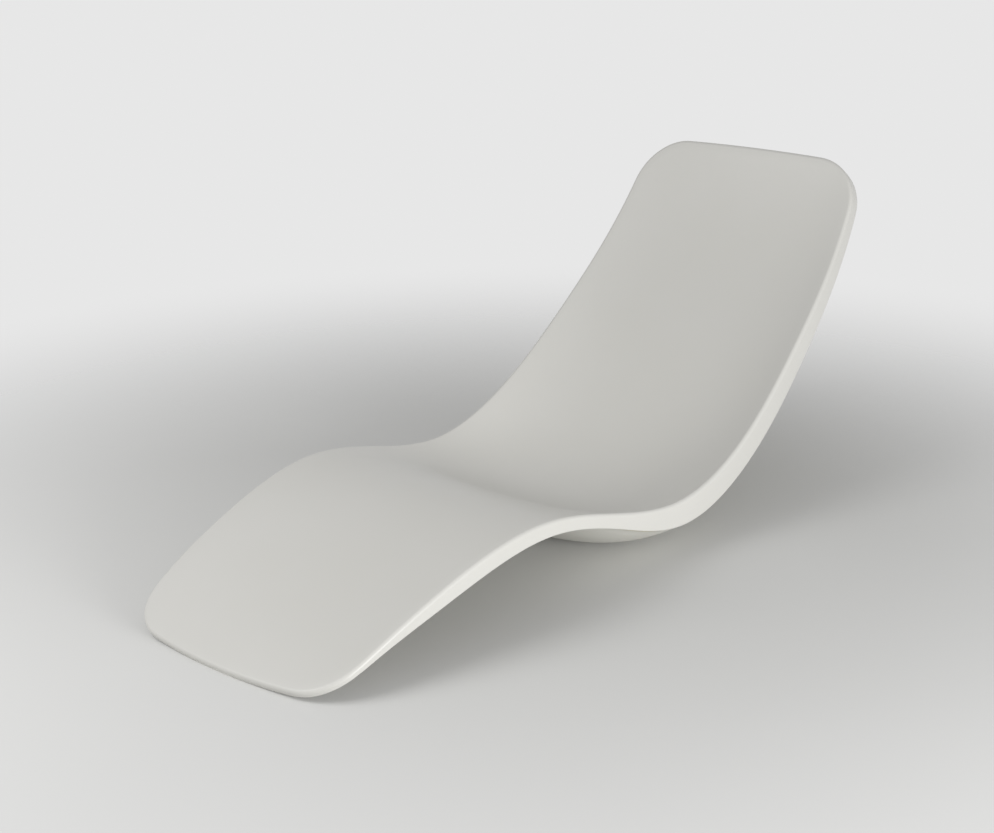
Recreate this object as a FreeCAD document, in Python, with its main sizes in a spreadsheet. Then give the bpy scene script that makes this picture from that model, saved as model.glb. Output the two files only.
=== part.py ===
import FreeCAD, Part
import math
import os
import Sketcher

# Moulded glass-fibre chaise longue: a seat shell with a turned-down rim, closed underneath by an
# under shell with a belly, with foam cores and plywood formers between them and four rubber feet.
# Millimetres. X is the width, Y runs from toe to head, Z is up from the floor.

V = FreeCAD.Vector
doc = FreeCAD.newDocument("chaise_longue")
sheet = doc.addObject("Spreadsheet::Sheet", "sizes")

# Stations along the rim, from toe to head, as a boatbuilder's lofting table. Run is the distance
# along Y from the station before. Level is the height of the rim: above the floor at the toe,
# instep and shin, above the rim of the seat elsewhere. Rim is the depth of the turned-down edge,
# dish the hollow of the middle below the rim, and hull the thickness of the body in the middle.
STATIONS = ["toe", "instep", "shin", "knee", "thigh", "seat", "lumbar", "back", "shoulder", "head"]
COLUMNS = ["run", "level", "width", "rim", "dish", "hull"]
LOFTING_TABLE = {
    "toe": [0, 22, 506, 13, 0, 13],
    "instep": [61, 55, 533, 14, 0, 16],
    "shin": [191, 135, 575, 30, 0, 32],
    "knee": [274, 65, 610, 30, 3, 35],
    "thigh": [226, 18, 626, 36, 38, 60],
    "seat": [166, 0, 647, 60, 78, 51],
    "lumbar": [148, 36, 651, 60, 62, 54],
    "back": [253, 202, 627, 49, 30, 42],
    "shoulder": [161, 351, 600, 38, 18, 38],
    "head": [140, 550, 557, 30, 3, 27],
}
FLOOR_LEVELS = ["toe", "instep", "shin"]

SIZES = [
    ("toe_bow", 23),
    ("head_bow", 9),
    ("toe_corner", 103),
    ("head_corner", 120),
    ("straight_side", 60),
    ("rim_round", 7),
    ("seat_skin", 5),
    ("rim_wall", 6),
    ("rim_recess", 4),
    ("bond_gap", 2),
    ("bond_clearance", 0.2),
    ("under_skin", 4),
    ("under_start", 75),
    ("core_gap", 0.4),
    ("former_thickness", 12),
    ("sole_flat", 16),
    ("foot_height", 7),
    ("foot_radius", 16),
    ("foot_taper", 1.5),
    ("foot_pitch_across", 220),
    ("foot_pitch_along", 76),
    ("pad_overhang", 40),
    ("pad_width", 56),
    ("pad_thickness", 10),
    ("screw_radius", 2),
    ("screw_length", 20),
    ("screw_point", 4),
    ("screw_head_radius", 4),
    ("screw_head_height", 2.4),
    ("screw_recess", 1.2),
    ("screw_clearance", 0.3),
    ("washer_radius", 6),
    ("washer_thickness", 1),
]


def fill_sheet(rows):
    """Writes each size into the sheet, with its name as the alias."""
    for number, (alias, value) in enumerate(rows, start=1):
        sheet.set("A%d" % number, alias)
        sheet.set("B%d" % number, str(value))
        sheet.setAlias("B%d" % number, alias)


table_rows = []
for station in STATIONS:
    for column, value in zip(COLUMNS, LOFTING_TABLE[station]):
        table_rows.append(("%s_%s" % (station, column), value))
fill_sheet(table_rows + SIZES)
doc.recompute()


def size(alias):
    return float(getattr(sheet, alias))


# The rim line in the plane of symmetry, and the numbers that change along it

sole_level = size("foot_height")
seat_level = sole_level - size("sole_flat") + size("seat_hull") + size("seat_dish")
rim_points = []
reach = 0.0
for station in STATIONS:
    reach += size(station + "_run")
    level = size(station + "_level")
    if station not in FLOOR_LEVELS:
        level += seat_level
    rim_points.append(V(0, reach, level))

station_places = [0.0]
for before, after in zip(rim_points, rim_points[1:]):
    station_places.append(station_places[-1] + before.distanceToPoint(after))
rim_length = station_places[-1]
AT = dict(zip(STATIONS, station_places))


def rail(points, places):
    """A smooth curve that passes each point at its place along the rim."""
    curve = Part.BSplineCurve()
    curve.interpolate(Points=points, Parameters=places)
    return curve


rim_line = rail(rim_points, station_places)
girth_line = rail(
    [V(size(s + "_width") / 2, size(s + "_rim"), size(s + "_dish")) for s in STATIONS], station_places)
hull_line = rail([V(size(s + "_hull"), 0, 0) for s in STATIONS], station_places)


class Section:
    """The cross-section at one place along the rim line, which runs on straight past its ends."""

    def __init__(self, place):
        inside = min(max(place, 0.0), rim_length)
        girth = girth_line.value(inside)
        self.along = rim_line.tangent(inside)[0]
        self.up = V(0, -self.along.z, self.along.y)
        self.point = rim_line.value(inside) + self.along * (place - inside)
        self.half_width = girth.x
        self.rim = girth.y
        self.dish = girth.z
        self.hull = hull_line.value(inside).x

    def below(self, depth):
        return self.point - self.up * depth

    def turn(self):
        """The rotation that lays Y along the rim line."""
        return FreeCAD.Rotation(V(1, 0, 0), math.degrees(math.atan2(self.along.z, self.along.y)))


# A layer is a solid between an upper and a lower skin. Each skin is a row of cross curves over two
# rim rails and a centre rail, so its control points come straight from the rails.

SAMPLES = 25
SQUARE_LAW = (1, 0, -1 / 3, 0, 1)
FOURTH_LAW = (1, -1, 1, -1, 1)
DISH_FULLNESS = 0.55
BELLY_FULLNESS = 0.7


class Skin:
    """Depths below the rim line at the rim and in the middle. Fullness flattens the middle."""

    def __init__(self, rim_depth, centre_depth, fullness):
        self.rim_depth = rim_depth
        self.centre_depth = centre_depth
        self.fullness = fullness

    def depth(self, section, share):
        """The depth at a share of the half width."""
        rise = (1 - self.fullness) * share ** 2 + self.fullness * share ** 4
        centre = self.centre_depth(section)
        return centre + (self.rim_depth(section) - centre) * rise

    def cross_curve(self, edge, centre):
        """Control points of the cross curve from rim to rim."""
        points = []
        for k, (square, fourth) in enumerate(zip(SQUARE_LAW, FOURTH_LAW)):
            rise = (1 - self.fullness) * square + self.fullness * fourth
            y = centre.y + (edge.y - centre.y) * rise
            z = centre.z + (edge.z - centre.z) * rise
            points.append(V(edge.x * (k - 2) / 2, y, z))
        return points


def patch(rows, guide):
    """A face over rows of control points, shaped like guide along the rows, polynomial across."""
    degree = len(rows[0]) - 1
    surface = Part.BSplineSurface()
    surface.buildFromPolesMultsKnots(
        rows, guide.getMultiplicities(), [degree + 1, degree + 1],
        guide.getKnots(), [0, 1], False, False, guide.Degree, degree)
    return surface.toShape()


def layer(first, last, inset, upper, lower):
    """A solid between two skins from place first to place last, inset from the sides."""
    places = [first + (last - first) * k / (SAMPLES - 1) for k in range(SAMPLES)]
    sections = [Section(place) for place in places]
    skins = []
    for skin in (upper, lower):
        edges = []
        for section in sections:
            edge = section.below(skin.depth(section, 1 - inset / section.half_width))
            edges.append(V(section.half_width - inset, edge.y, edge.z))
        edge_rail = rail(edges, places)
        centre_rail = rail([s.below(skin.centre_depth(s)) for s in sections], places)
        pairs = zip(edge_rail.getPoles(), centre_rail.getPoles())
        skins.append([skin.cross_curve(edge, centre) for edge, centre in pairs])
    top, bottom = skins
    faces = [patch(top, edge_rail), patch(bottom, edge_rail)]
    for side in (0, -1):
        faces.append(patch([[a[side], b[side]] for a, b in zip(top, bottom)], edge_rail))
    straight = Part.BSplineCurve([V(0, 0, 0), V(0, 0, 1)], [2, 2], [0, 1], False, 1)
    for end in (0, -1):
        faces.append(patch([top[end], bottom[end]], straight))
    shell = Part.Shell(faces)
    shell.sewShape()
    solid = Part.Solid(shell)
    if solid.Volume < 0:
        solid.reverse()
    return solid


# The outline seen square to each end: a bowed end, rounded corners and sides that follow the widths.
# The block of each end runs on with straight sides from the widest place past the other end. Each
# curved side stands on a few short walls, so that areas and volumes come out exact.

WIDEST_STEPS = 400
SIDE_WALLS = 4
widest_place = max(
    [rim_length * k / WIDEST_STEPS for k in range(WIDEST_STEPS + 1)],
    key=lambda place: Section(place).half_width)
SPAN = 2 * (reach + seat_level + size("head_level"))


def end_block(end, inset):
    """The block inside the outline of one end, upright on the slope of that end, inset all round."""
    run = 1 if end == "head" else -1
    tip = rim_length if end == "head" else 0.0
    corner = size(end + "_corner")
    slope = Section(tip - run * corner)
    outward = slope.along * run
    origin = Section(widest_place).point

    def on_plan(x, place, push=0.0):
        distance = (Section(place).point - origin).dot(outward) + push
        return origin + outward * distance + V(x, 0, 0)

    straight_end = widest_place + run * size("straight_side")
    curve_start = straight_end + run * size("straight_side")
    curve_end = tip - run * inset
    places = [curve_start + (curve_end - curve_start) * k / (SAMPLES - 1) for k in range(SAMPLES)]
    widest = Section(widest_place).half_width - inset
    edges = []
    rear_corners = []
    tip_corners = []
    for side in (1, -1):
        points = [on_plan(side * widest, straight_end)]
        points += [on_plan(side * (Section(p).half_width - inset), p) for p in places]
        curve = Part.BSplineCurve()
        curve.interpolate(Points=points, InitialTangent=outward,
                          FinalTangent=(points[-1] - points[-2]).normalize())
        rear_corners.append(on_plan(side * widest, widest_place, -SPAN / 2))
        tip_corners.append(points[-1])
        edges.append(Part.LineSegment(rear_corners[-1], points[0]).toShape())
        reach_along = curve.LastParameter - curve.FirstParameter
        cuts = [curve.FirstParameter + reach_along * k / SIDE_WALLS for k in range(SIDE_WALLS + 1)]
        edges += [curve.toShape(start, stop) for start, stop in zip(cuts, cuts[1:])]
    edges.append(Part.LineSegment(*rear_corners).toShape())
    bow = on_plan(0, curve_end, size(end + "_bow"))
    edges.append(Part.Arc(tip_corners[0], bow, tip_corners[1]).toShape())
    face = Part.Face(Part.Wire(Part.__sortEdges__(edges)))
    face.translate(slope.up * (-SPAN / 2))
    block = face.extrude(slope.up * SPAN)
    probes = [Part.Vertex(point) for point in tip_corners]
    upright = [min(block.Edges, key=lambda edge: edge.distToShape(probe)[0]) for probe in probes]
    return block.makeFillet(corner - inset, upright)


def outlined(solid, inset):
    """A solid cut to the outline, inset all round."""
    return solid.common(end_block("toe", inset)).common(end_block("head", inset))


# The skins of the shells

rim_wall = size("rim_wall")
seat_skin = size("seat_skin")
under_skin = size("under_skin")
core_gap = size("core_gap")
under_start = size("under_start")
OVERSIZE = 30


def below_seat(extra):
    """A skin that follows the sitting surface, extra below it."""
    return Skin(lambda s: extra, lambda s: s.dish + extra, DISH_FULLNESS)


def above_belly(extra):
    """A skin that follows the outside of the under shell, extra inside it."""
    recess = size("rim_recess")
    return Skin(lambda s: s.rim - recess - extra, lambda s: s.dish + s.hull - extra, BELLY_FULLNESS)


def rim_edge(extra):
    """A skin through the lower edge of the rim, extra below it and clear of the dish."""
    return Skin(lambda s: s.rim + extra,
                lambda s: max(s.rim, s.dish + 2 * seat_skin) + extra, DISH_FULLNESS)


def outlined_layer(first, inset, upper, lower):
    """A layer from place first to the head, cut to the outline."""
    return outlined(layer(first, rim_length + OVERSIZE, -OVERSIZE, upper, lower), inset)


def flat_at(level, solid):
    """A solid cut flat underneath at a level above the floor."""
    return solid.cut(Part.makeBox(SPAN, SPAN, SPAN, V(-SPAN / 2, -SPAN / 2, level - SPAN)))


# Seat shell: the sitting surface with its rounded rim, hollow from below and flat where the toe stands

seat_block = outlined_layer(-OVERSIZE, 0, below_seat(0), rim_edge(0))
seat_section = Section(AT["seat"])
seat_centre = Part.Vertex(seat_section.below(seat_section.dish))
sitting_face = min(seat_block.Faces, key=lambda face: face.distToShape(seat_centre)[0])
seat_block = seat_block.makeFillet(size("rim_round"), sitting_face.Edges)
seat_hollow = outlined_layer(-OVERSIZE, rim_wall, below_seat(seat_skin), rim_edge(OVERSIZE))
seat_solid = flat_at(0, seat_block.cut(seat_hollow))

# The origin lies on the floor under the middle of the length
bounds = seat_solid.optimalBoundingBox(False, False)
SETTLED = FreeCAD.Placement(V(0, -(bounds.YMin + bounds.YMax) / 2, 0), FreeCAD.Rotation())
nodes = []


def add_shape(label, shape):
    """A document object for a free-form shape that is worked out above."""
    feature = doc.addObject("Part::Feature", label)
    feature.Label = label
    feature.Shape = shape
    feature.Placement = SETTLED
    return feature


nodes.append(add_shape("seat_shell", seat_solid))

# Under shell: a pan with a belly and a flat sole, whose upright flange is bonded inside the rim

pan_inset = rim_wall + size("bond_gap")
pan_block = outlined_layer(under_start, pan_inset, below_seat(seat_skin + core_gap), above_belly(0))
pan_hollow = outlined_layer(
    under_start + under_skin, pan_inset + under_skin, below_seat(-OVERSIZE), above_belly(under_skin))
pan_solid = flat_at(sole_level, pan_block).cut(flat_at(sole_level + under_skin, pan_hollow))
pan = add_shape("pan", pan_solid)

# Bead of filled resin between the flange and the rim

clearance = size("bond_clearance")
bead_block = outlined_layer(
    under_start, rim_wall + clearance, below_seat(seat_skin + core_gap), above_belly(0))
bead_hollow = outlined_layer(0, pan_inset - clearance, below_seat(0), above_belly(-OVERSIZE))
nodes.append(add_shape("rim_bond", bead_block.cut(bead_hollow)))

# Plywood formers across the hollow between the shells, square to the rim line

core_start = under_start + under_skin + core_gap
core_inset = pan_inset + under_skin + core_gap
core_top = below_seat(seat_skin + core_gap)
core_bottom = above_belly(under_skin + core_gap)
core_floor = sole_level + under_skin + core_gap
core_block = flat_at(core_floor, outlined_layer(core_start, core_inset, core_top, core_bottom))
core_space = add_shape("core_space", core_block)
FORMERS = ["knee", "thigh", "lumbar", "shoulder"]


def add_box(name, length, width, height):
    box = doc.addObject("Part::Box", name)
    box.setExpression("Length", length)
    box.setExpression("Width", width)
    box.setExpression("Height", height)
    box.recompute()
    return box


def add_common(label, base, tool):
    common = doc.addObject("Part::Common", label)
    common.Label = label
    common.Base = base
    common.Tool = tool
    return common


def add_cut(label, base, tool):
    cut = doc.addObject("Part::Cut", label)
    cut.Label = label
    cut.Base = base
    cut.Tool = tool
    return cut


for station in FORMERS:
    section = Section(AT[station])
    depth = "2 * (sizes.{0}_dish + sizes.{0}_hull)".format(station)
    board = add_box(station + "_board", "sizes.%s_width" % station, "sizes.former_thickness", depth)
    corner = V(-board.Length.Value / 2, -board.Width.Value / 2, -board.Height.Value)
    corner = SETTLED.Base + section.point + section.turn().multVec(corner)
    board.Placement = FreeCAD.Placement(corner, section.turn())
    nodes.append(add_common(station + "_former", board, core_space))

# Four turned rubber feet under the sole, each drilled for a screw with its head in a well

foot_y = seat_section.below(seat_section.dish + seat_section.hull).y + SETTLED.Base.y
half_across = size("foot_pitch_across") / 2
half_along = size("foot_pitch_along") / 2
ROWS = [("front", foot_y - half_along), ("rear", foot_y + half_along)]
SIDES = [("left", -half_across), ("right", half_across)]
HEAD_TOP = "sizes.screw_recess + sizes.screw_head_height"
SHANK_HOLE = "sizes.screw_radius + sizes.screw_clearance"
SHANK_REACH = HEAD_TOP + " + sizes.screw_length + sizes.screw_clearance"
WELL = "sizes.washer_radius + sizes.screw_clearance"
WELL_DEPTH = HEAD_TOP + " + sizes.washer_thickness"
foot_corners = [
    (WELL, "0"),
    ("sizes.foot_radius - sizes.foot_taper", "0"),
    ("sizes.foot_radius", "sizes.foot_height"),
    (SHANK_HOLE, "sizes.foot_height"),
    (SHANK_HOLE, WELL_DEPTH),
    (WELL, WELL_DEPTH),
]


def add_turned(label, corners, place):
    """A turned piece on an upright axis. Corners are pairs of expressions: radius and height."""
    body = doc.addObject("PartDesign::Body", label)
    body.Label = label
    sketch = body.newObject("Sketcher::SketchObject", label + "_profile")
    upright = [feature for feature in body.Origin.OriginFeatures if feature.Role == "XZ_Plane"]
    sketch.AttachmentSupport = [(upright[0], "")]
    sketch.MapMode = "FlatFace"
    count = len(corners)
    for k in range(count):
        start = V(k + 1, k % 2, 0)
        finish = V((k + 1) % count + 1, (k + 1) % count % 2, 0)
        sketch.addGeometry(Part.LineSegment(start, finish), False)
    for k in range(count):
        sketch.addConstraint(Sketcher.Constraint("Coincident", k, 2, (k + 1) % count, 1))
    for k, (radius, height) in enumerate(corners):
        for kind, axis, expression in (("DistanceX", -2, radius), ("DistanceY", -1, height)):
            if expression == "0":
                sketch.addConstraint(Sketcher.Constraint("PointOnObject", k, 1, axis))
                continue
            number = sketch.addConstraint(Sketcher.Constraint(kind, -1, 1, k, 1, 1.0))
            sketch.setExpression("Constraints[%d]" % number, expression)
    turned = body.newObject("PartDesign::Revolution", label + "_turned")
    turned.Profile = sketch
    turned.ReferenceAxis = (sketch, ["V_Axis"])
    turned.Angle = 360
    body.Placement = FreeCAD.Placement(place, FreeCAD.Rotation())
    return body


shank_holes = doc.addObject("Part::Compound", "shank_holes")
for row, y in ROWS:
    for side, x in SIDES:
        name = "foot_%s_%s" % (row, side)
        nodes.append(add_turned(name, foot_corners, V(x, y, 0)))
        hole = doc.addObject("Part::Cylinder", name + "_hole")
        hole.setExpression("Radius", SHANK_HOLE)
        hole.setExpression("Height", SHANK_REACH)
        hole.Placement = FreeCAD.Placement(V(x, y, 0), FreeCAD.Rotation())
        shank_holes.Links = shank_holes.Links + [hole]
nodes.append(add_cut("under_shell", pan, shank_holes))

# Plywood pads laid inside the sole, which take the screws of the feet

pad_rooms = doc.addObject("Part::Compound", "pad_rooms")
for row, y in ROWS:
    pad_length = "sizes.foot_pitch_across + 2 * sizes.pad_overhang"
    board = add_box(row + "_pad_board", pad_length, "sizes.pad_width", "sizes.pad_thickness")
    corner = V(-board.Length.Value / 2, y - board.Width.Value / 2, core_floor)
    board.Placement = FreeCAD.Placement(corner, FreeCAD.Rotation())
    fitted = add_common(row + "_pad_fitted", board, core_space)
    nodes.append(add_cut(row + "_foot_pad", fitted, shank_holes))
    room = add_box(row + "_pad_room", pad_length + " + 2 * sizes.core_gap",
                   "sizes.pad_width + 2 * sizes.core_gap", "sizes.pad_thickness + 2 * sizes.core_gap")
    room.Placement = FreeCAD.Placement(corner - V(core_gap, core_gap, core_gap), FreeCAD.Rotation())
    pad_rooms.Links = pad_rooms.Links + [room]

# Screws and washers of the feet, turned and repeated at the four places

SCREW_TOP = "sizes.screw_head_height + sizes.screw_length"
screw_corners = [
    ("0", "0"),
    ("sizes.screw_head_radius", "0"),
    ("sizes.screw_head_radius", "sizes.screw_head_height"),
    ("sizes.screw_radius", "sizes.screw_head_height"),
    ("sizes.screw_radius", SCREW_TOP + " - sizes.screw_point"),
    ("0", SCREW_TOP),
]
washer_corners = [
    (SHANK_HOLE, "0"),
    ("sizes.washer_radius", "0"),
    ("sizes.washer_radius", "sizes.washer_thickness"),
    (SHANK_HOLE, "sizes.washer_thickness"),
]
head_bottom = size("screw_recess")
head_top = head_bottom + size("screw_head_height")


def repeat_at_feet(body):
    """Repeats a turned piece, made at the front left foot, at the other three."""
    body.AllowCompound = True
    axes = {feature.Role: feature for feature in body.Origin.OriginFeatures}
    turned = body.Tip
    patterns = []
    for name, axis in (("across", "X_Axis"), ("along", "Y_Axis")):
        pattern = body.newObject("PartDesign::LinearPattern", body.Label + "_" + name)
        pattern.Direction = (axes[axis], [""])
        pattern.setExpression("Length", "sizes.foot_pitch_" + name)
        pattern.Occurrences = 2
        patterns.append(pattern)
    grid = body.newObject("PartDesign::MultiTransform", body.Label + "_grid")
    grid.Originals = [turned]
    grid.Transformations = patterns
    body.Tip = grid


for label, corners, level in (
        ("foot_screws", screw_corners, head_bottom), ("foot_washers", washer_corners, head_top)):
    hardware = add_turned(label, corners, V(-half_across, foot_y - half_along, level))
    repeat_at_feet(hardware)
    nodes.append(hardware)

# Foam cores between the formers, the one over the sole with room for the pads and screw points

half_former = size("former_thickness") / 2 + core_gap
starts = [core_start] + [AT[station] + half_former for station in FORMERS]
stops = [AT[station] - half_former for station in FORMERS] + [rim_length + OVERSIZE]
for label, first, last in zip(["leg", "thigh", "seat", "back", "head"], starts, stops):
    slab = layer(first, last, -OVERSIZE, below_seat(-OVERSIZE), above_belly(-OVERSIZE))
    if label == "seat":
        foam = add_shape("seat_foam", slab.common(core_block))
        housed = add_cut("seat_foam_housed", foam, pad_rooms)
        nodes.append(add_cut("seat_core", housed, shank_holes))
    else:
        nodes.append(add_shape(label + "_core", slab.common(core_block)))
doc.recompute()

# Every object has to be sound before anything is written

for item in doc.Objects:
    if "Invalid" in item.State or "Error" in item.State:
        raise RuntimeError("%s failed: %s" % (item.Label, item.State))
for node in nodes:
    if node.Shape.isNull() or not node.Shape.isValid() or not node.Shape.Solids:
        raise RuntimeError("%s has no sound shape" % node.Label)
os.makedirs("parts", exist_ok=True)
for node in nodes:
    node.Shape.exportStep("parts/%s.step" % node.Label)
    print(node.Label, len(node.Shape.Solids), round(node.Shape.Volume))
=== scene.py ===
import math
import bmesh
import bpy
import numpy as np
from mathutils import Matrix, Vector


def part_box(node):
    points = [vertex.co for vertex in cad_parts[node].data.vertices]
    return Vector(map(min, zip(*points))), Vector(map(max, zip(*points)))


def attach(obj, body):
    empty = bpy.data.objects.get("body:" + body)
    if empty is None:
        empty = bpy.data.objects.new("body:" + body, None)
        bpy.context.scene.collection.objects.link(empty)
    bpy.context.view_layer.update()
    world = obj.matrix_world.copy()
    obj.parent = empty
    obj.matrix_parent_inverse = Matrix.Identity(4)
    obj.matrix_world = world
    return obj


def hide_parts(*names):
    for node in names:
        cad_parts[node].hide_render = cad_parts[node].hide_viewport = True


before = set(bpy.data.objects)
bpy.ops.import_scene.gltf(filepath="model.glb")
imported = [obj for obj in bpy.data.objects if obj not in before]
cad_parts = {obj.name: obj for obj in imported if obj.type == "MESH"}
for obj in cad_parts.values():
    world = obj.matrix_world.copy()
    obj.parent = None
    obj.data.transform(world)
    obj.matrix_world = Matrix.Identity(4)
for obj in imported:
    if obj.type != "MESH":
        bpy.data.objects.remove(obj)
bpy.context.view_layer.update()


# Under shell: the lower moulding that closes the underside, with the belly and its flat sole.
# It is glass-fibre laminate laid up in a mould behind off-white gelcoat, open at the top, and its
# upright flange fits inside the rim of the seat shell.

# Run along Y from the station before, level of the rim, width, rim depth, dish and hull, in metres
LOFTING_TABLE = {
    "toe": [0.000, 0.022, 0.506, 0.013, 0.000, 0.013],
    "instep": [0.061, 0.055, 0.533, 0.014, 0.000, 0.016],
    "shin": [0.191, 0.135, 0.575, 0.030, 0.000, 0.032],
    "knee": [0.274, 0.185, 0.610, 0.030, 0.003, 0.035],
    "thigh": [0.226, 0.138, 0.626, 0.036, 0.038, 0.060],
    "seat": [0.166, 0.120, 0.647, 0.060, 0.078, 0.051],
    "lumbar": [0.148, 0.156, 0.651, 0.060, 0.062, 0.054],
    "back": [0.253, 0.322, 0.627, 0.049, 0.030, 0.042],
    "shoulder": [0.161, 0.471, 0.600, 0.038, 0.018, 0.038],
    "head": [0.140, 0.670, 0.557, 0.030, 0.003, 0.027],
}
TOE_BOW = 0.023
HEAD_BOW = 0.008
TOE_CORNER = 0.103
HEAD_CORNER = 0.120
# Length over which the end walls turn from square to the end to square to the rim
WALL_BLEND = 0.150
DISH_FULLNESS = 0.55
BELLY_FULLNESS = 0.7
SEAT_SKIN = 0.005
UNDER_SKIN = 0.004
UNDER_START = 0.075
UNDER_INSET = 0.008
RIM_RECESS = 0.004
BOND_CLEARANCE = 0.0004
SOLE_LEVEL = 0.007
EDGE_ROUND = 0.002
BOW_STEPS = 22
CORNER_STEPS = 20
SIDE_STEPS = 150
WALL_STEPS = 4
EDGE_STEPS = 4
FACE_RINGS = 5
RING_PITCH = 0.009
# A start this far in front of the toe cuts nothing off an outline
UNCUT = -1.0

table = np.array(list(LOFTING_TABLE.values()))
rim_line = np.column_stack([np.cumsum(table[:, 0]), table[:, 1]])
stations = np.concatenate([[0], np.cumsum(np.linalg.norm(np.diff(rim_line, axis=0), axis=1))])
rim_length = stations[-1]


def rail(values):
    """The slopes at the stations of the cubic spline through values there."""
    count = len(stations)
    gaps = np.diff(stations)
    system = np.zeros((count, count))
    right = np.zeros(values.shape)
    for k in range(1, count - 1):
        before, after = gaps[k - 1], gaps[k]
        system[k, k - 1:k + 2] = [1 / before, 2 / before + 2 / after, 1 / after]
        rise_before = (values[k] - values[k - 1]) / before ** 2
        rise_after = (values[k + 1] - values[k]) / after ** 2
        right[k] = 3 * (rise_before + rise_after)
    # The end slopes are those of the cubic through the four stations nearest to each end
    for end, near in ((0, slice(0, 4)), (count - 1, slice(count - 4, count))):
        system[end, end] = 1
        right[end] = np.polyfit(stations[near] - stations[end], values[near], 3)[2]
    return np.linalg.solve(system, right)


rail_values = np.column_stack([rim_line, table[:, 2] / 2, table[:, 3:]])
rail_slopes = rail(rail_values)


def at(place):
    """Rim point, half width, rim depth, dish and hull at places along the rim, and its direction."""
    inside = np.clip(place, 0, rim_length)
    k = np.clip(np.searchsorted(stations, inside, side="right") - 1, 0, len(stations) - 2)
    gap = np.diff(stations)[k][:, None]
    t = (inside - stations[k])[:, None] / gap
    start, stop = rail_values[k], rail_values[k + 1]
    rise, fall = rail_slopes[k] * gap, rail_slopes[k + 1] * gap
    value = (start * (1 + 2 * t) * (1 - t) ** 2 + rise * t * (1 - t) ** 2
             + stop * t ** 2 * (3 - 2 * t) + fall * t ** 2 * (t - 1))
    slope = (6 * t * (t - 1) * (start - stop) + rise * (1 - t) * (1 - 3 * t)
             + fall * t * (3 * t - 2)) / gap
    along = slope[:, :2] / np.linalg.norm(slope[:, :2], axis=1)[:, None]
    value[:, :2] += along * (place - inside)[:, None]
    return value, along


# The feet stand evenly about the lowest point of the belly, which places the loft in the frame
seat_place = stations[list(LOFTING_TABLE).index("seat")]
seat_value, seat_along = at(np.array([seat_place]))
belly_y = seat_value[0, 0] + seat_along[0, 1] * (seat_value[0, 4] + seat_value[0, 5])
foot_names = [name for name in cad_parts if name.endswith(("_left", "_right"))]
feet_y = sum(sum(corner.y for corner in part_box(name)) / 2 for name in foot_names) / len(foot_names)
MIDDLE = belly_y - feet_y


def upright(place, depth):
    """Places on the walls at the ends, which stand square to the slope beside each end's corners."""
    direction = at(place)[1]
    for tip, run, corner in ((0, -1, TOE_CORNER), (rim_length, 1, HEAD_CORNER)):
        end = at(np.array([tip - run * corner]))[1][0]
        lean = np.arctan2(direction[:, 1], direction[:, 0]) - math.atan2(end[1], end[0])
        share = np.clip(1 + (run * (place - tip) + corner) / WALL_BLEND, 0, 1)
        place = place - share ** 2 * (3 - 2 * share) * depth * np.tan(lean)
    return place


def on_section(place, x, depth, lowest):
    """Points at places along the rim, x across and depth below the rim line, not below lowest."""
    value, along = at(upright(place, depth))
    y = value[:, 0] + along[:, 1] * depth - MIDDLE
    z = np.maximum(value[:, 1] - along[:, 0] * depth, lowest)
    return np.column_stack([x, y, z])


def hollow(place, x, rim_depth, centre_depth, fullness):
    """Depth of a skin that goes from rim depth at the sides to centre depth in the middle."""
    share = np.abs(x) / at(place)[0][:, 2]
    rise = (1 - fullness) * share ** 2 + fullness * share ** 4
    return centre_depth + (rim_depth - centre_depth) * rise


def sitting(place, x):
    """Depth of the sitting surface below the rim line."""
    return hollow(place, x, 0, at(place)[0][:, 4], DISH_FULLNESS)


def belly(place, x):
    """Depth of the underside below the rim line."""
    value = at(place)[0]
    return hollow(place, x, value[:, 3] - RIM_RECESS, value[:, 4] + value[:, 5], BELLY_FULLNESS)


def outline(inset, start=UNCUT):
    """The closed outline inset all round, from the toe's middle, cut off at start: places and x."""
    halves = []
    ends = ((0, -1, TOE_BOW, TOE_CORNER), (rim_length, 1, HEAD_BOW, HEAD_CORNER))
    for tip, run, bow, corner in ends:
        half_width = at(np.array([tip]))[0][0, 2]
        half_behind = at(np.array([tip - run * corner]))[0][0, 2]
        lean = math.atan2(half_behind - half_width, corner)
        bow_radius = (half_width ** 2 + bow ** 2) / (2 * bow)
        bow_centre = bow - bow_radius
        # The corner's centre lies one corner radius inside the side and inside the bow
        side = np.array([-math.cos(lean), math.sin(lean)])
        inward = np.array([-math.sin(lean), -math.cos(lean)])
        first = np.array([0, half_width]) + inward * corner - np.array([bow_centre, 0])
        reach = bow_radius - corner
        b = first @ side
        root = math.sqrt(b ** 2 - first @ first + reach ** 2)
        travel = -b - root if -b - root >= 0 else -b + root
        centre = first + side * travel + np.array([bow_centre, 0])
        swing = math.atan2(centre[1], centre[0] - bow_centre)
        turn = np.linspace(0, swing, BOW_STEPS + 1)
        arc = np.column_stack([bow_centre + (bow_radius - inset) * np.cos(turn),
                               (bow_radius - inset) * np.sin(turn)])
        turn = np.linspace(swing, math.pi / 2 - lean, CORNER_STEPS + 1)[1:]
        round_corner = centre + (corner - inset) * np.column_stack([np.cos(turn), np.sin(turn)])
        half = np.concatenate([arc, round_corner])
        half[:, 0] = tip + run * half[:, 0]
        halves.append(half)
    toe, head = halves
    side_places = np.linspace(toe[-1, 0], head[-1, 0], SIDE_STEPS + 1)[1:-1]
    side = np.column_stack([side_places, at(side_places)[0][:, 2] - inset])
    right = np.concatenate([toe, side, head[::-1]])
    left = right[-2:0:-1] * [1, -1]
    loop = np.concatenate([right, left])
    return np.maximum(loop[:, 0], start + inset), loop[:, 1]


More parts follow.
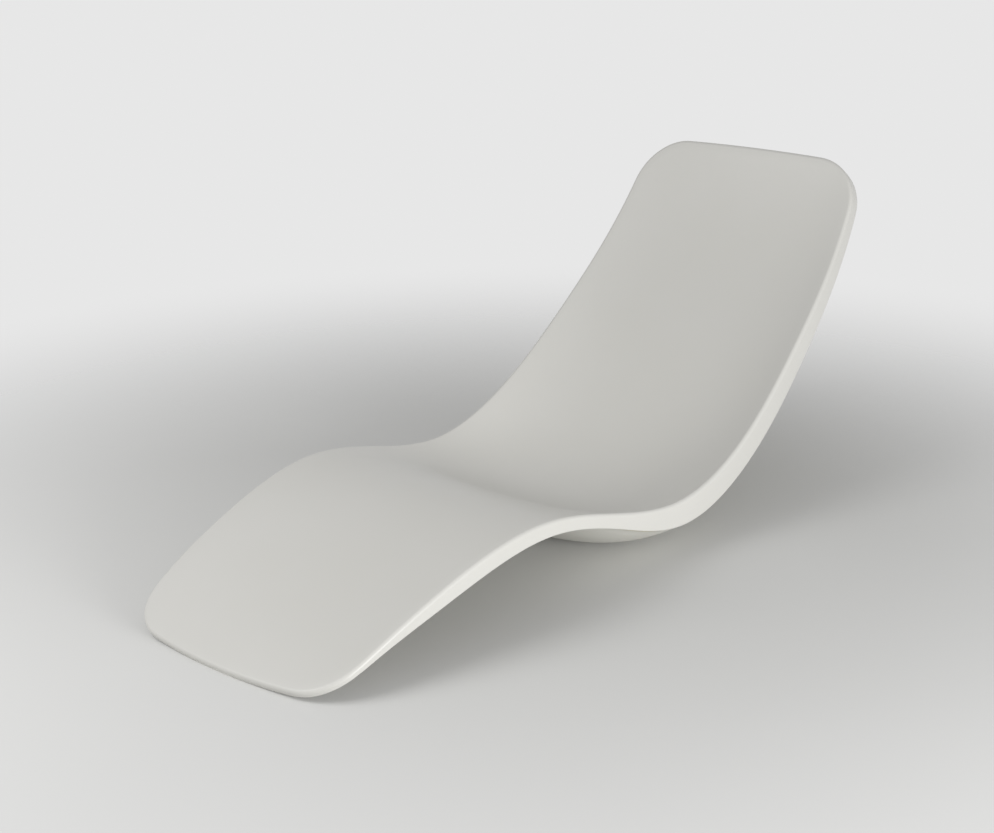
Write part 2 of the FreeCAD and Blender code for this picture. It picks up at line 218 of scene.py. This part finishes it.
def wall(inset, start, above, below, lowest):
    """Rings down or up a wall at an inset, from the depth above to the depth below."""
    place, x = outline(inset, start)
    steps = range(1, WALL_STEPS + 1)
    return [(place, x, above + (below - above) * k / WALL_STEPS, lowest) for k in steps]


def round_over(outer, inner, start, depth, way, lowest):
    """Rings over the rounded edge of a wall, from its outer face to its inner face."""
    rings = []
    for k in range(1, 2 * EDGE_STEPS + 1):
        angle = math.pi * k / (2 * EDGE_STEPS)
        inset = outer + EDGE_ROUND * (1 - math.cos(angle))
        if k > EDGE_STEPS:
            inset = inner - EDGE_ROUND * (1 + math.cos(angle))
        place, x = outline(inset, start)
        rings.append((place, x, depth + way * EDGE_ROUND * math.sin(angle), lowest))
    return rings


def moulding(name, rings, first_depth, last_depth):
    """A closed skin through rings of places, x, depths and lowest level, filled at both ends."""
    count = len(rings[0][0])
    corner = BOW_STEPS + CORNER_STEPS // 2
    across = 2 * corner
    along = SIDE_STEPS + CORNER_STEPS
    points = [on_section(*ring) for ring in rings]
    ids = np.arange(count * len(rings)).reshape(len(rings), count)
    after = np.roll(ids, -1, axis=1)
    faces = [np.stack([ids[:-1], after[:-1], after[1:], ids[1:]], axis=-1).reshape(-1, 4)]
    u = np.linspace(0, 1, along + 1)[:, None, None]
    v = np.linspace(0, 1, across + 1)[None, :, None]
    for number, depth in ((0, first_depth), (len(rings) - 1, last_depth)):
        # The loop's points border a grid of places and x, blended from its four sides
        place, x, _, lowest = rings[number]
        loop = np.roll(np.column_stack([place, x, ids[number]]), corner, axis=0)
        toe = loop[:across + 1]
        right = loop[across:across + along + 1]
        head = loop[across + along:2 * across + along + 1][::-1]
        left = np.concatenate([loop[2 * across + along:], loop[:1]])[::-1]
        grid = (1 - v) * left[:, None] + v * right[:, None] + (1 - u) * toe[None] + u * head[None]
        grid -= (1 - u) * ((1 - v) * toe[0] + v * toe[-1]) + u * ((1 - v) * head[0] + v * head[-1])
        inner_place, inner_x = grid[1:-1, 1:-1, 0].ravel(), grid[1:-1, 1:-1, 1].ravel()
        cells = np.rint(grid[..., 2]).astype(int)
        first_id = sum(len(group) for group in points)
        cells[1:-1, 1:-1] = first_id + np.arange(len(inner_place)).reshape(along - 1, across - 1)
        points.append(on_section(inner_place, inner_x, depth(inner_place, inner_x), lowest))
        faces.append(np.stack([cells[:-1, :-1], cells[:-1, 1:], cells[1:, 1:], cells[1:, :-1]],
                              axis=-1).reshape(-1, 4))
    mesh = bpy.data.meshes.new(name)
    mesh.from_pydata(np.concatenate(points).tolist(), [], np.concatenate(faces).tolist())
    work = bmesh.new()
    work.from_mesh(mesh)
    bmesh.ops.recalc_face_normals(work, faces=work.faces)
    work.to_mesh(mesh)
    work.free()
    mesh.shade_smooth()
    piece = bpy.data.objects.new(name, mesh)
    bpy.context.scene.collection.objects.link(piece)
    return piece


under_start = UNDER_START - UNDER_INSET
inner_inset = UNDER_INSET + UNDER_SKIN
under_rings = []
for k in range(FACE_RINGS, 0, -1):
    place, x = outline(UNDER_INSET + EDGE_ROUND + k * RING_PITCH, under_start)
    under_rings.append((place, x, belly(place, x), SOLE_LEVEL))
edge_place, edge_x = outline(UNDER_INSET, under_start)
edge_depth = belly(edge_place, edge_x)
for k in range(EDGE_STEPS + 1):
    angle = math.pi / 2 * k / EDGE_STEPS
    place, x = outline(UNDER_INSET + EDGE_ROUND * (1 - math.sin(angle)), under_start)
    under_rings.append((place, x, edge_depth - EDGE_ROUND * (1 - math.cos(angle)), SOLE_LEVEL))
flange_top = sitting(edge_place, edge_x) + SEAT_SKIN + BOND_CLEARANCE + EDGE_ROUND
under_rings += wall(UNDER_INSET, under_start, edge_depth - EDGE_ROUND, flange_top, SOLE_LEVEL)
under_rings += round_over(UNDER_INSET, inner_inset, under_start, flange_top, -1, SOLE_LEVEL)
inside_level = SOLE_LEVEL + UNDER_SKIN
inner_place, inner_x = outline(inner_inset, under_start)
inside_depth = np.maximum(belly(inner_place, inner_x) - UNDER_SKIN, flange_top)
under_rings += wall(inner_inset, under_start, flange_top, inside_depth, inside_level)
under = moulding("under_moulding", under_rings, belly, lambda place, x: belly(place, x) - UNDER_SKIN)
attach(under, "root")
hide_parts("under_shell")


def colour(code):
    """A colour written as sRGB hex, as the linear values that shaders take."""
    parts = [int(code[k:k + 2], 16) / 255 for k in (1, 3, 5)]
    linear = [part / 12.92 if part <= 0.04045 else ((part + 0.055) / 1.055) ** 2.4 for part in parts]
    return linear + [1]


def add(tree, kind, settings, links):
    """Adds a shader node, with its settings and with its inputs linked to other nodes' outputs."""
    node = tree.nodes.new("ShaderNode" + kind)
    for name, value in settings.items():
        if hasattr(node, str(name)):
            setattr(node, name, value)
        else:
            node.inputs[name].default_value = value
    for name, socket in links.items():
        tree.links.new(socket, node.inputs[name])
    return node


def material(name):
    """A new material, with its node tree, its shader and the object's own coordinates in metres."""
    made = bpy.data.materials.new(name)
    made.use_nodes = True
    tree = made.node_tree
    place = add(tree, "TexCoord", {}, {}).outputs["Object"]
    return made, tree, tree.nodes["Principled BSDF"], place


def dress(piece, made):
    """Gives a piece its material in place of any that it had."""
    piece.data.materials.clear()
    piece.data.materials.append(made)


# Sockets of the Mix node when it mixes two colours
MIX_FIRST = 6
MIX_SECOND = 7
MIXED = 2
# Sizes of the marks in the gelcoat, in metres
AGEING = 0.30
POLISH = 0.05
FIBRE_PRINT = 0.040
# Orange peel is about 2 mm across, too fine to show, so it is drawn twice as coarse
ORANGE_PEEL = 0.004
FIBRE_PRINT_HEIGHT = 0.00012
ORANGE_PEEL_HEIGHT = 0.00001
GELCOAT_IOR = 1.55


def gelcoat(name, fresh, aged, smoothest, dullest):
    """Pigmented resin skin: a calm satin sheen, slightly clouded colour and the mould's faint waves."""
    made, tree, surface, place = material(name)
    ageing = add(tree, "TexNoise", {"Scale": 1 / AGEING, "Detail": 3}, {"Vector": place})
    tint = add(tree, "Mix", {"data_type": "RGBA", MIX_FIRST: colour(fresh), MIX_SECOND: colour(aged)},
               {0: ageing.outputs["Fac"]})
    polish = add(tree, "TexNoise", {"Scale": 1 / POLISH, "Detail": 4}, {"Vector": place})
    sheen = add(tree, "MapRange", {"To Min": smoothest, "To Max": dullest},
                {"Value": polish.outputs["Fac"]})
    print_through = add(tree, "TexNoise", {"Scale": 1 / FIBRE_PRINT, "Detail": 1}, {"Vector": place})
    waves = add(tree, "Bump", {"Distance": FIBRE_PRINT_HEIGHT},
                {"Height": print_through.outputs["Fac"]})
    peel = add(tree, "TexNoise", {"Scale": 1 / ORANGE_PEEL, "Detail": 0}, {"Vector": place})
    grain = add(tree, "Bump", {"Distance": ORANGE_PEEL_HEIGHT},
                {"Height": peel.outputs["Fac"], "Normal": waves.outputs["Normal"]})
    surface.inputs["IOR"].default_value = GELCOAT_IOR
    tree.links.new(tint.outputs[MIXED], surface.inputs["Base Color"])
    tree.links.new(sheen.outputs["Result"], surface.inputs["Roughness"])
    tree.links.new(grain.outputs["Normal"], surface.inputs["Normal"])
    return made


# Off-white gelcoat as it comes from the mould: the colour of the seat, with a duller sheen
under_gelcoat = gelcoat("gelcoat_as_moulded", fresh="#D9D8D3", aged="#D4D3CB",
                        smoothest=0.42, dullest=0.54)
dress(under, under_gelcoat)
dress(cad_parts["under_shell"], under_gelcoat)


# Foot pads: two strips of birch plywood across the sole, laminated in over the feet.
# They give the foot screws wood to bite in, because laminate alone would strip.

BIRCH_PALE = "#D6B98C"
BIRCH_DARK = "#B08A5A"
GRAIN_LENGTH = 0.18
GRAIN_WIDTH = 0.004
GRAIN_WAVINESS = 0.6
GRAIN_HEIGHT = 0.0001
# Birch pores are far finer than this, so they are drawn as coarse as they need to show
PORE = 0.0015
PLYWOOD_SMOOTHEST = 0.6
PLYWOOD_DULLEST = 0.8

plywood, tree, surface, place = material("birch_plywood")
# Sawn birch: long pale streaks across the lounge, fine pores that vary its dullness and a dry raw
# surface
stretched = add(tree, "Mapping", {"Scale": (1 / GRAIN_LENGTH, 1 / GRAIN_WIDTH, 1 / GRAIN_WIDTH)},
                {"Vector": place})
streaks = add(tree, "TexNoise", {"Scale": 1, "Detail": 5, "Distortion": GRAIN_WAVINESS},
              {"Vector": stretched.outputs["Vector"]})
wood = add(tree, "Mix",
           {"data_type": "RGBA", MIX_FIRST: colour(BIRCH_PALE), MIX_SECOND: colour(BIRCH_DARK)},
           {0: streaks.outputs["Fac"]})
pores = add(tree, "TexNoise", {"Scale": 1 / PORE, "Detail": 2}, {"Vector": place})
dryness = add(tree, "MapRange", {"To Min": PLYWOOD_SMOOTHEST, "To Max": PLYWOOD_DULLEST},
              {"Value": pores.outputs["Fac"]})
fuzz = add(tree, "Bump", {"Distance": GRAIN_HEIGHT}, {"Height": streaks.outputs["Fac"]})
tree.links.new(wood.outputs[MIXED], surface.inputs["Base Color"])
tree.links.new(dryness.outputs["Result"], surface.inputs["Roughness"])
tree.links.new(fuzz.outputs["Normal"], surface.inputs["Normal"])
for name in ("front_foot_pad", "rear_foot_pad"):
    dress(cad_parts[name], plywood)


# Formers: four plywood boards that stand across the inside and keep the two shells apart.
# They are sawn to the section of the hollow and glassed to the under shell, where loads come in.

for name in ("knee_former", "thigh_former", "lumbar_former", "shoulder_former"):
    dress(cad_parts[name], plywood)


# Foam cores: blocks of rigid closed-cell foam between the formers, which fill the hollow.
# They keep the thin laminate from drumming and denting when someone sits down.

FOAM_PALE = "#E2D3A0"
FOAM_DARK = "#CDB97E"
# The cells are under a millimetre across, too fine to show, so they are drawn at 2 mm
FOAM_CELL = 0.002
CELL_DEPTH = 0.0006
FOAM_CLOUD = 0.08
FOAM_ROUGHNESS = 0.92

foam, tree, surface, place = material("rigid_foam")
# Cut foam: straw-coloured, quite matt, with open cells that catch the light
cells = add(tree, "TexVoronoi", {"Scale": 1 / FOAM_CELL}, {"Vector": place})
cloud = add(tree, "TexNoise", {"Scale": 1 / FOAM_CLOUD, "Detail": 3}, {"Vector": place})
straw = add(tree, "Mix",
            {"data_type": "RGBA", MIX_FIRST: colour(FOAM_PALE), MIX_SECOND: colour(FOAM_DARK)},
            {0: cloud.outputs["Fac"]})
pits = add(tree, "Bump", {"Distance": CELL_DEPTH}, {"Height": cells.outputs["Distance"]})
surface.inputs["Roughness"].default_value = FOAM_ROUGHNESS
tree.links.new(straw.outputs[MIXED], surface.inputs["Base Color"])
tree.links.new(pits.outputs["Normal"], surface.inputs["Normal"])
for name in ("leg_core", "thigh_core", "seat_core", "back_core", "head_core"):
    dress(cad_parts[name], foam)


# Rim bond: the bead of filled resin all round that glues the flange of the under shell to the rim.
# It is spread on wet before the two shells are pressed together, and is wiped off level.

PASTE_PALE = "#C9C3AE"
PASTE_DARK = "#B3AB93"
PASTE_SMEAR = 0.012
SMEAR_SWIRL = 0.8
SMEAR_HEIGHT = 0.0005
PASTE_ROUGHNESS = 0.65

paste, tree, surface, place = material("bonding_paste")
# Cured filled resin: dull grey-beige, uneven where it was wiped
smears = add(tree, "TexNoise", {"Scale": 1 / PASTE_SMEAR, "Detail": 4, "Distortion": SMEAR_SWIRL},
             {"Vector": place})
beige = add(tree, "Mix",
            {"data_type": "RGBA", MIX_FIRST: colour(PASTE_PALE), MIX_SECOND: colour(PASTE_DARK)},
            {0: smears.outputs["Fac"]})
wiped = add(tree, "Bump", {"Distance": SMEAR_HEIGHT}, {"Height": smears.outputs["Fac"]})
surface.inputs["Roughness"].default_value = PASTE_ROUGHNESS
tree.links.new(beige.outputs[MIXED], surface.inputs["Base Color"])
tree.links.new(wiped.outputs["Normal"], surface.inputs["Normal"])
dress(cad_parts["rim_bond"], paste)


# Seat shell: the upper moulding that one lies on, glass-fibre laminate behind an off-white gelcoat.
# It is laid up in a mould, so the rim turns down all round in the same skin, with no seam.

RIM_ROUND = 0.007
RIM_WALL = 0.006
ROUND_STEPS = 9
SLOPE_STEP = 0.001

seat_rings = []
for k in range(FACE_RINGS, 0, -1):
    place, x = outline(2 * RIM_ROUND + k * RING_PITCH)
    seat_rings.append((place, x, sitting(place, x), 0))
edge_place, edge_x = outline(0)
edge_depth = sitting(edge_place, edge_x)
# The rounding is tangent to the sitting surface, which falls away from the rim,
inner_depth = sitting(edge_place, edge_x - SLOPE_STEP * np.sign(edge_x))
lean_in = np.arctan((inner_depth - edge_depth) / SLOPE_STEP)
round_centre = RIM_ROUND * (np.tan(lean_in) + 1 / np.cos(lean_in))
# and to the end walls, which lean under the edge or out from it
inner_place, inner_x = outline(RIM_ROUND)
wall_lean = (edge_place - upright(edge_place, SLOPE_STEP)) / SLOPE_STEP
tilt = np.arctan(wall_lean * (edge_place - inner_place) / RIM_ROUND)
for k in range(ROUND_STEPS + 1):
    angle = -lean_in + (math.pi / 2 + lean_in + tilt) * k / ROUND_STEPS
    inset = 1 / np.cos(tilt) - np.sin(angle) + np.tan(tilt) * np.cos(angle)
    place = edge_place - (edge_place - inner_place) * inset
    x = edge_x - (edge_x - inner_x) * inset
    seat_rings.append((place, x, edge_depth + round_centre - RIM_ROUND * np.cos(angle), 0))
round_end = seat_rings[-1][2]
wall_end = np.maximum(at(edge_place)[0][:, 3] - EDGE_ROUND, round_end + EDGE_ROUND / 4)
seat_rings += wall(0, UNCUT, round_end, wall_end, 0)
seat_rings += round_over(0, RIM_WALL, UNCUT, wall_end, 1, 0)
inner_place, inner_x = outline(RIM_WALL)
skin_depth = np.minimum(sitting(inner_place, inner_x) + SEAT_SKIN, wall_end)
seat_rings += wall(RIM_WALL, UNCUT, wall_end, skin_depth, 0)
seat = moulding("seat_moulding", seat_rings, sitting, lambda place, x: sitting(place, x) + SEAT_SKIN)
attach(seat, "root")
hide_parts("seat_shell")


# Off-white gelcoat, rubbed down and polished by hand: a soft broad sheen without sharp reflections
seat_gelcoat = gelcoat("gelcoat_polished", fresh="#DBDAD6", aged="#D6D5CF",
                       smoothest=0.34, dullest=0.46)
dress(seat, seat_gelcoat)
dress(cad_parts["seat_shell"], seat_gelcoat)


# Feet: four round discs of black rubber under the sole, which keep the gelcoat off the floor.
# They are moulded with a rounded edge, and each is held by one screw.

RUBBER_BLACK = "#161616"
RUBBER_DUSTY = "#2C2B29"
FOOT_EDGE = 0.001
FOOT_EDGE_STEPS = 3
# The grain of the mould is finer than this, so it is drawn as coarse as it needs to show
RUBBER_GRAIN = 0.0012
RUBBER_GRAIN_HEIGHT = 0.0001
RUBBER_DUST = 0.010
RUBBER_ROUGHNESS = 0.8

rubber, tree, surface, place = material("black_rubber")
# Moulded rubber: nearly black and matt, greyed here and there by dust from the floor
dust = add(tree, "TexNoise", {"Scale": 1 / RUBBER_DUST, "Detail": 4}, {"Vector": place})
black = add(tree, "Mix",
            {"data_type": "RGBA", MIX_FIRST: colour(RUBBER_BLACK), MIX_SECOND: colour(RUBBER_DUSTY)},
            {0: dust.outputs["Fac"]})
skin = add(tree, "TexNoise", {"Scale": 1 / RUBBER_GRAIN, "Detail": 1}, {"Vector": place})
matt = add(tree, "Bump", {"Distance": RUBBER_GRAIN_HEIGHT}, {"Height": skin.outputs["Fac"]})
surface.inputs["Roughness"].default_value = RUBBER_ROUGHNESS
tree.links.new(black.outputs[MIXED], surface.inputs["Base Color"])
tree.links.new(matt.outputs["Normal"], surface.inputs["Normal"])
for name in foot_names:
    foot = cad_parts[name]
    dress(foot, rubber)
    edge = foot.modifiers.new("edge", "BEVEL")
    edge.width = FOOT_EDGE
    edge.segments = FOOT_EDGE_STEPS


# Washers and screws: zinc-plated steel, one of each up through every foot and into its pad.
# The heads lie sunk in the feet, so that they never touch the floor.

ZINC_PALE = "#CFD2D3"
ZINC_DARK = "#B2B7BC"
ZINC_SPANGLE = 0.003
ZINC_SMOOTHEST = 0.25
ZINC_DULLEST = 0.42

steel, tree, surface, place = material("zinc_plated_steel")
# Bright zinc: cool pale metal, cloudy from the plating bath, with soft reflections
spangle = add(tree, "TexNoise", {"Scale": 1 / ZINC_SPANGLE, "Detail": 3}, {"Vector": place})
zinc = add(tree, "Mix",
           {"data_type": "RGBA", MIX_FIRST: colour(ZINC_PALE), MIX_SECOND: colour(ZINC_DARK)},
           {0: spangle.outputs["Fac"]})
lustre = add(tree, "MapRange", {"To Min": ZINC_SMOOTHEST, "To Max": ZINC_DULLEST},
             {"Value": spangle.outputs["Fac"]})
surface.inputs["Metallic"].default_value = 1
tree.links.new(zinc.outputs[MIXED], surface.inputs["Base Color"])
tree.links.new(lustre.outputs["Result"], surface.inputs["Roughness"])
for name in ("foot_washers", "foot_screws"):
    dress(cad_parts[name], steel)


# Floor: a plain pale studio floor that carries the lounge and its shadow, not part of the lounge.
# It fades away all round into the pale background.

FLOOR_PALE = "#E7E7E5"
FLOOR_DARK = "#E4E4E2"
FLOOR_HALF = 4
FLOOR_MOTTLE = 0.6
FLOOR_ROUGHNESS = 0.9
FLOOR_SPECULAR = 0.1
# Distances from the middle of the lounge between which the floor fades
FADE_START = 0.5
FADE_END = 2.3

floor_corners = [(-FLOOR_HALF, -FLOOR_HALF, 0), (FLOOR_HALF, -FLOOR_HALF, 0),
                 (FLOOR_HALF, FLOOR_HALF, 0), (-FLOOR_HALF, FLOOR_HALF, 0)]
floor_mesh = bpy.data.meshes.new("floor")
floor_mesh.from_pydata(floor_corners, [], [(0, 1, 2, 3)])
floor = bpy.data.objects.new("floor", floor_mesh)
bpy.context.scene.collection.objects.link(floor)
pale, tree, surface, place = material("pale_floor")
# Painted floor: pale grey and quite matt, with hardly any mottle
mottle = add(tree, "TexNoise", {"Scale": 1 / FLOOR_MOTTLE, "Detail": 2}, {"Vector": place})
grey = add(tree, "Mix",
           {"data_type": "RGBA", MIX_FIRST: colour(FLOOR_PALE), MIX_SECOND: colour(FLOOR_DARK)},
           {0: mottle.outputs["Fac"]})
surface.inputs["Roughness"].default_value = FLOOR_ROUGHNESS
surface.inputs["Specular IOR Level"].default_value = FLOOR_SPECULAR
tree.links.new(grey.outputs[MIXED], surface.inputs["Base Color"])
distance = add(tree, "VectorMath", {"operation": "LENGTH"}, {0: place})
fading = {"interpolation_type": "SMOOTHSTEP", "From Min": FADE_START, "From Max": FADE_END}
fade = add(tree, "MapRange", fading, {"Value": distance.outputs["Value"]})
clear = add(tree, "BsdfTransparent", {}, {})
faded = add(tree, "MixShader", {},
            {0: fade.outputs["Result"], 1: surface.outputs[0], 2: clear.outputs[0]})
tree.links.new(faded.outputs[0], tree.nodes["Material Output"].inputs["Surface"])
dress(floor, pale)


# Light: a softbox low on the right, a weaker one above the toe, and even light from all round.
# The rim's face turns to the first, so it is the brightest. The background is seen pale.

# Strength of the light from all round, and of the background where it is seen or mirrored
ROUND_LIGHT = 0.36
SEEN_LIGHT = 0.80
# Place, aim, width, height and power in watts of each softbox
SOFTBOXES = {
    "side_softbox": [(3.2, -0.75, 0.60), (0, -0.1, 0.25), 1.8, 1.1, 69],
    "toe_softbox": [(-0.8, -1.9, 1.6), (0, -0.5, 0.1), 1.4, 1.4, 21],
}

for name, (place, aim, width, height, power) in SOFTBOXES.items():
    lamp = bpy.data.lights.new(name, "AREA")
    lamp.shape = "RECTANGLE"
    lamp.size = width
    lamp.size_y = height
    lamp.energy = power
    softbox = bpy.data.objects.new(name, lamp)
    bpy.context.scene.collection.objects.link(softbox)
    softbox.location = place
    softbox.rotation_mode = "QUATERNION"
    softbox.rotation_quaternion = (Vector(aim) - Vector(place)).to_track_quat("-Z", "Y")
world = bpy.data.worlds.new("studio")
bpy.context.scene.world = world
world.use_nodes = True
tree = world.node_tree
background = tree.nodes["Background"]
background.inputs["Color"].default_value = colour("#FFFFFF")
path = add(tree, "LightPath", {}, {}).outputs
mirrored = add(tree, "Math", {}, {0: path["Is Glossy Ray"], 1: path["Is Transmission Ray"]})
seen = add(tree, "Math", {}, {0: path["Is Camera Ray"], 1: mirrored.outputs[0]})
strength = add(tree, "MapRange", {"To Min": ROUND_LIGHT, "To Max": SEEN_LIGHT},
               {"Value": seen.outputs[0]})
tree.links.new(strength.outputs["Result"], background.inputs["Strength"])
bpy.context.scene.view_settings.view_transform = "Standard"


# Camera: the photograph's angle and lens, turned with a slight roll and without shift.
# Its place is given from the toe end of the rim line, as the lofting table is.

PHOTO_WIDTH = 994
FOCAL_PIXELS = 1839.35
SENSOR_WIDTH = 36
CAMERA_PLACE = Vector((2.28037, -1.86123, 1.43211))
CAMERA_AZIMUTH = math.radians(41.3177)
CAMERA_PITCH = math.radians(18.6099)
CAMERA_ROLL = math.radians(-0.9753)

lens = bpy.data.cameras.new("camera")
lens.sensor_width = SENSOR_WIDTH
lens.lens = FOCAL_PIXELS / PHOTO_WIDTH * SENSOR_WIDTH
camera = bpy.data.objects.new("camera", lens)
bpy.context.scene.collection.objects.link(camera)
turn = Matrix.Rotation(CAMERA_AZIMUTH, 4, "Z")
turn = turn @ Matrix.Rotation(math.pi / 2 - CAMERA_PITCH, 4, "X")
turn = turn @ Matrix.Rotation(CAMERA_ROLL, 4, "Z")
camera.matrix_world = Matrix.Translation(CAMERA_PLACE - Vector((0, MIDDLE, 0))) @ turn
bpy.context.scene.camera = camera
